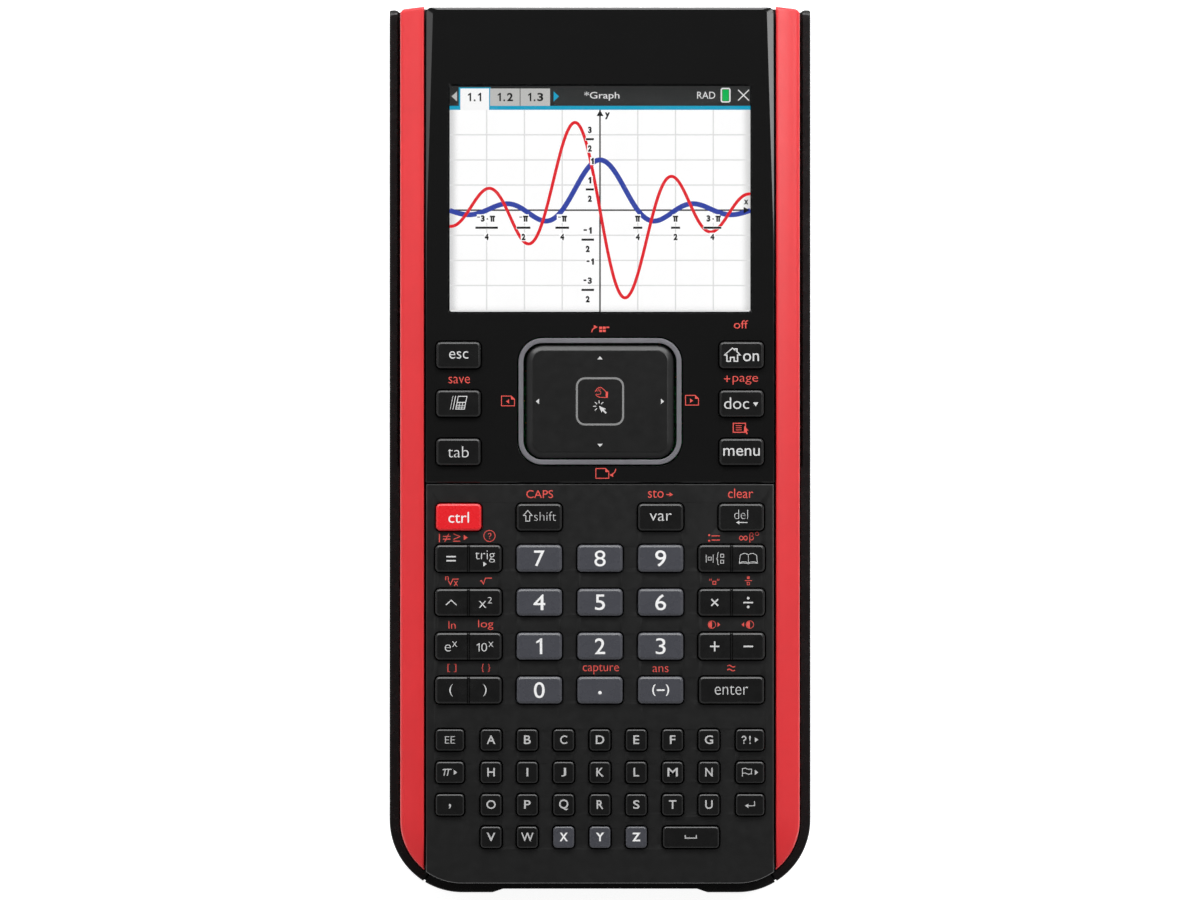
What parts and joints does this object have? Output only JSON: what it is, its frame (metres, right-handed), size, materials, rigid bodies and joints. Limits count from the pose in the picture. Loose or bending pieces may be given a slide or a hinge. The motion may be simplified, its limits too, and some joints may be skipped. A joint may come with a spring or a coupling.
{
  "type": "graphing calculator",
  "caption": "Handheld graphing calculator with a colour display, a clickable touchpad and sprung keys, lying in a slide-off cover that wraps its sides and lower end.",
  "frame": {"origin": "middle of the overall outline, on the underside of the slide cover that the calculator lies on", "axes": "+X to the right across the face, +Y towards the display end, +Z out of the face"},
  "size_m": [0.0904, 0.1908, 0.0209],
  "materials": {
    "cover_black": "moulded black, light satin",
    "case_black": "fine moulded texture",
    "bezel_gloss": "polished black",
    "bezel_matte": "fine matte",
    "rail_red": "satin-gloss red",
    "window_clear": "clear, polished",
    "lcd": "display glass",
    "frame_steel": "pressed sheet",
    "board_green": "solder mask",
    "rubber_dark": "soft rubber",
    "battery_foil": "printed wrap",
    "screw_steel": "zinc plated",
    "usb_steel": "pressed steel",
    "dock_black": "moulded",
    "led_clear": "clear light pipe",
    "ring_grey": "satin grey",
    "touch_black": "satin black",
    "key_black": "satin black with printed legends",
    "key_red": "satin red",
    "key_grey": "satin blue-grey"
  },
  "bodies": {
    "handheld": {"rear_case": "case_black", "display_bezel": "bezel_gloss", "keypad_bezel": "bezel_matte", "side_rail_left": "rail_red", "side_rail_right": "rail_red", "display_window": "window_clear", "lcd_panel": "lcd", "lcd_frame": "frame_steel", "main_board": "board_green", "key_membrane": "rubber_dark", "battery_pack": "battery_foil", "battery_cover": "case_black", "battery_screw_left": "screw_steel", "battery_screw_right": "screw_steel", "case_screw_top_left": "screw_steel", "case_screw_top_right": "screw_steel", "case_screw_bottom_left": "screw_steel", "case_screw_bottom_right": "screw_steel", "usb_port": "usb_steel", "dock_connector": "dock_black", "status_led": "led_clear", "touch_ring": "ring_grey"},
    "cover": {"slide_cover": "cover_black"},
    "touch_base": {"touch_dome_pad": "rubber_dark"},
    "touch_board": {"touch_sensor_board": "board_green"},
    "touch_top": {"touchpad": "touch_black"},
    "key_esc_body": {"key_esc": "key_black"},
    "key_scratchpad_body": {"key_scratchpad": "key_black"},
    "key_tab_body": {"key_tab": "key_black"},
    "key_home_on_body": {"key_home_on": "key_black"},
    "key_doc_body": {"key_doc": "key_black"},
    "key_menu_body": {"key_menu": "key_black"},
    "key_ctrl_body": {"key_ctrl": "key_red"},
    "key_shift_body": {"key_shift": "key_black"},
    "key_var_body": {"key_var": "key_black"},
    "key_del_body": {"key_del": "key_black"},
    "key_0_body": {"key_0": "key_grey"},
    "key_1_body": {"key_1": "key_grey"},
    "key_2_body": {"key_2": "key_grey"},
    "key_3_body": {"key_3": "key_grey"},
    "key_4_body": {"key_4": "key_grey"},
    "key_5_body": {"key_5": "key_grey"},
    "key_6_body": {"key_6": "key_grey"},
    "key_7_body": {"key_7": "key_grey"},
    "key_8_body": {"key_8": "key_grey"},
    "key_9_body": {"key_9": "key_grey"},
    "key_point_body": {"key_point": "key_grey"},
    "key_negate_body": {"key_negate": "key_grey"},
    "key_enter_body": {"key_enter": "key_black"},
    "rocker_equals_trig_body": {"rocker_equals_trig": "key_black"},
    "rocker_power_square_body": {"rocker_power_square": "key_black"},
    "rocker_exponentials_body": {"rocker_exponentials": "key_black"},
    "rocker_brackets_body": {"rocker_brackets": "key_black"},
    "rocker_template_catalog_body": {"rocker_template_catalog": "key_black"},
    "rocker_multiply_divide_body": {"rocker_multiply_divide": "key_black"},
    "rocker_plus_minus_body": {"rocker_plus_minus": "key_black"},
    "letter_row_1_body": {"letter_row_1": "key_black"},
    "letter_row_2_body": {"letter_row_2": "key_black"},
    "letter_row_3_body": {"letter_row_3": "key_black"},
    "letter_row_4_body": {"letter_row_4": "key_black"}
  },
  "joints": [
    {"name": "cover_slide", "type": "slide", "parent": "handheld", "child": "cover", "axis": [0, -1, 0], "range_m": [0, 0.2]},
    {"name": "touch_click", "type": "slide", "parent": "handheld", "child": "touch_base", "axis": [0, 0, -1], "range_m": [0, 0.0004], "stiffness_N_per_m": 2500, "springref_m": -0.0002},
    {"name": "touch_tilt_up_down", "type": "hinge", "parent": "touch_base", "child": "touch_board", "pos_m": [0, 0.0104, 0.0186], "axis": [1, 0, 0], "range_deg": [-1.2, 1.2], "stiffness_Nm_per_rad": 0.6},
    {"name": "touch_tilt_left_right", "type": "hinge", "parent": "touch_board", "child": "touch_top", "pos_m": [0, 0.0104, 0.0186], "axis": [0, 1, 0], "range_deg": [-1.2, 1.2], "stiffness_Nm_per_rad": 0.6},
    {"name": "key_esc_press", "type": "slide", "parent": "handheld", "child": "key_esc_body", "axis": [0, 0, -1], "range_m": [0, 0.0008], "stiffness_N_per_m": 900, "springref_m": -0.0003},
    {"name": "key_scratchpad_press", "type": "slide", "parent": "handheld", "child": "key_scratchpad_body", "axis": [0, 0, -1], "range_m": [0, 0.0008], "stiffness_N_per_m": 900, "springref_m": -0.0003},
    {"name": "key_tab_press", "type": "slide", "parent": "handheld", "child": "key_tab_body", "axis": [0, 0, -1], "range_m": [0, 0.0008], "stiffness_N_per_m": 900, "springref_m": -0.0003},
    {"name": "key_home_on_press", "type": "slide", "parent": "handheld", "child": "key_home_on_body", "axis": [0, 0, -1], "range_m": [0, 0.0008], "stiffness_N_per_m": 900, "springref_m": -0.0003},
    {"name": "key_doc_press", "type": "slide", "parent": "handheld", "child": "key_doc_body", "axis": [0, 0, -1], "range_m": [0, 0.0008], "stiffness_N_per_m": 900, "springref_m": -0.0003},
    {"name": "key_menu_press", "type": "slide", "parent": "handheld", "child": "key_menu_body", "axis": [0, 0, -1], "range_m": [0, 0.0008], "stiffness_N_per_m": 900, "springref_m": -0.0003},
    {"name": "key_ctrl_press", "type": "slide", "parent": "handheld", "child": "key_ctrl_body", "axis": [0, 0, -1], "range_m": [0, 0.0008], "stiffness_N_per_m": 900, "springref_m": -0.0003},
    {"name": "key_shift_press", "type": "slide", "parent": "handheld", "child": "key_shift_body", "axis": [0, 0, -1], "range_m": [0, 0.0008], "stiffness_N_per_m": 900, "springref_m": -0.0003},
    {"name": "key_var_press", "type": "slide", "parent": "handheld", "child": "key_var_body", "axis": [0, 0, -1], "range_m": [0, 0.0008], "stiffness_N_per_m": 900, "springref_m": -0.0003},
    {"name": "key_del_press", "type": "slide", "parent": "handheld", "child": "key_del_body", "axis": [0, 0, -1], "range_m": [0, 0.0008], "stiffness_N_per_m": 900, "springref_m": -0.0003},
    {"name": "key_0_press", "type": "slide", "parent": "handheld", "child": "key_0_body", "axis": [0, 0, -1], "range_m": [0, 0.0008], "stiffness_N_per_m": 900, "springref_m": -0.0003},
    {"name": "key_1_press", "type": "slide", "parent": "handheld", "child": "key_1_body", "axis": [0, 0, -1], "range_m": [0, 0.0008], "stiffness_N_per_m": 900, "springref_m": -0.0003},
    {"name": "key_2_press", "type": "slide", "parent": "handheld", "child": "key_2_body", "axis": [0, 0, -1], "range_m": [0, 0.0008], "stiffness_N_per_m": 900, "springref_m": -0.0003},
    {"name": "key_3_press", "type": "slide", "parent": "handheld", "child": "key_3_body", "axis": [0, 0, -1], "range_m": [0, 0.0008], "stiffness_N_per_m": 900, "springref_m": -0.0003},
    {"name": "key_4_press", "type": "slide", "parent": "handheld", "child": "key_4_body", "axis": [0, 0, -1], "range_m": [0, 0.0008], "stiffness_N_per_m": 900, "springref_m": -0.0003},
    {"name": "key_5_press", "type": "slide", "parent": "handheld", "child": "key_5_body", "axis": [0, 0, -1], "range_m": [0, 0.0008], "stiffness_N_per_m": 900, "springref_m": -0.0003},
    {"name": "key_6_press", "type": "slide", "parent": "handheld", "child": "key_6_body", "axis": [0, 0, -1], "range_m": [0, 0.0008], "stiffness_N_per_m": 900, "springref_m": -0.0003},
    {"name": "key_7_press", "type": "slide", "parent": "handheld", "child": "key_7_body", "axis": [0, 0, -1], "range_m": [0, 0.0008], "stiffness_N_per_m": 900, "springref_m": -0.0003},
    {"name": "key_8_press", "type": "slide", "parent": "handheld", "child": "key_8_body", "axis": [0, 0, -1], "range_m": [0, 0.0008], "stiffness_N_per_m": 900, "springref_m": -0.0003},
    {"name": "key_9_press", "type": "slide", "parent": "handheld", "child": "key_9_body", "axis": [0, 0, -1], "range_m": [0, 0.0008], "stiffness_N_per_m": 900, "springref_m": -0.0003},
    {"name": "key_point_press", "type": "slide", "parent": "handheld", "child": "key_point_body", "axis": [0, 0, -1], "range_m": [0, 0.0008], "stiffness_N_per_m": 900, "springref_m": -0.0003},
    {"name": "key_negate_press", "type": "slide", "parent": "handheld", "child": "key_negate_body", "axis": [0, 0, -1], "range_m": [0, 0.0008], "stiffness_N_per_m": 900, "springref_m": -0.0003},
    {"name": "key_enter_press", "type": "slide", "parent": "handheld", "child": "key_enter_body", "axis": [0, 0, -1], "range_m": [0, 0.0008], "stiffness_N_per_m": 900, "springref_m": -0.0003},
    {"name": "rocker_equals_trig_rock", "type": "hinge", "parent": "handheld", "child": "rocker_equals_trig_body", "pos_m": [-0.0284, -0.0235, 0.0185], "axis": [0, 1, 0], "range_deg": [-3.5, 3.5], "stiffness_Nm_per_rad": 0.06},
    {"name": "rocker_power_square_rock", "type": "hinge", "parent": "handheld", "child": "rocker_power_square_body", "pos_m": [-0.0284, -0.03298, 0.0185], "axis": [0, 1, 0], "range_deg": [-3.5, 3.5], "stiffness_Nm_per_rad": 0.06},
    {"name": "rocker_exponentials_rock", "type": "hinge", "parent": "handheld", "child": "rocker_exponentials_body", "pos_m": [-0.0284, -0.04246, 0.0185], "axis": [0, 1, 0], "range_deg": [-3.5, 3.5], "stiffness_Nm_per_rad": 0.06},
    {"name": "rocker_brackets_rock", "type": "hinge", "parent": "handheld", "child": "rocker_brackets_body", "pos_m": [-0.0284, -0.05194, 0.0185], "axis": [0, 1, 0], "range_deg": [-3.5, 3.5], "stiffness_Nm_per_rad": 0.06},
    {"name": "rocker_template_catalog_rock", "type": "hinge", "parent": "handheld", "child": "rocker_template_catalog_body", "pos_m": [0.0284, -0.0235, 0.0185], "axis": [0, 1, 0], "range_deg": [-3.5, 3.5], "stiffness_Nm_per_rad": 0.06},
    {"name": "rocker_multiply_divide_rock", "type": "hinge", "parent": "handheld", "child": "rocker_multiply_divide_body", "pos_m": [0.0284, -0.03298, 0.0185], "axis": [0, 1, 0], "range_deg": [-3.5, 3.5], "stiffness_Nm_per_rad": 0.06},
    {"name": "rocker_plus_minus_rock", "type": "hinge", "parent": "handheld", "child": "rocker_plus_minus_body", "pos_m": [0.0284, -0.04246, 0.0185], "axis": [0, 1, 0], "range_deg": [-3.5, 3.5], "stiffness_Nm_per_rad": 0.06},
    {"name": "letter_row_1_press", "type": "slide", "parent": "handheld", "child": "letter_row_1_body", "axis": [0, 0, -1], "range_m": [0, 0.0007], "stiffness_N_per_m": 1500, "springref_m": -0.0003},
    {"name": "letter_row_2_press", "type": "slide", "parent": "handheld", "child": "letter_row_2_body", "axis": [0, 0, -1], "range_m": [0, 0.0007], "stiffness_N_per_m": 1500, "springref_m": -0.0003},
    {"name": "letter_row_3_press", "type": "slide", "parent": "handheld", "child": "letter_row_3_body", "axis": [0, 0, -1], "range_m": [0, 0.0007], "stiffness_N_per_m": 1500, "springref_m": -0.0003},
    {"name": "letter_row_4_press", "type": "slide", "parent": "handheld", "child": "letter_row_4_body", "axis": [0, 0, -1], "range_m": [0, 0.0007], "stiffness_N_per_m": 1500, "springref_m": -0.0003}
  ]
}
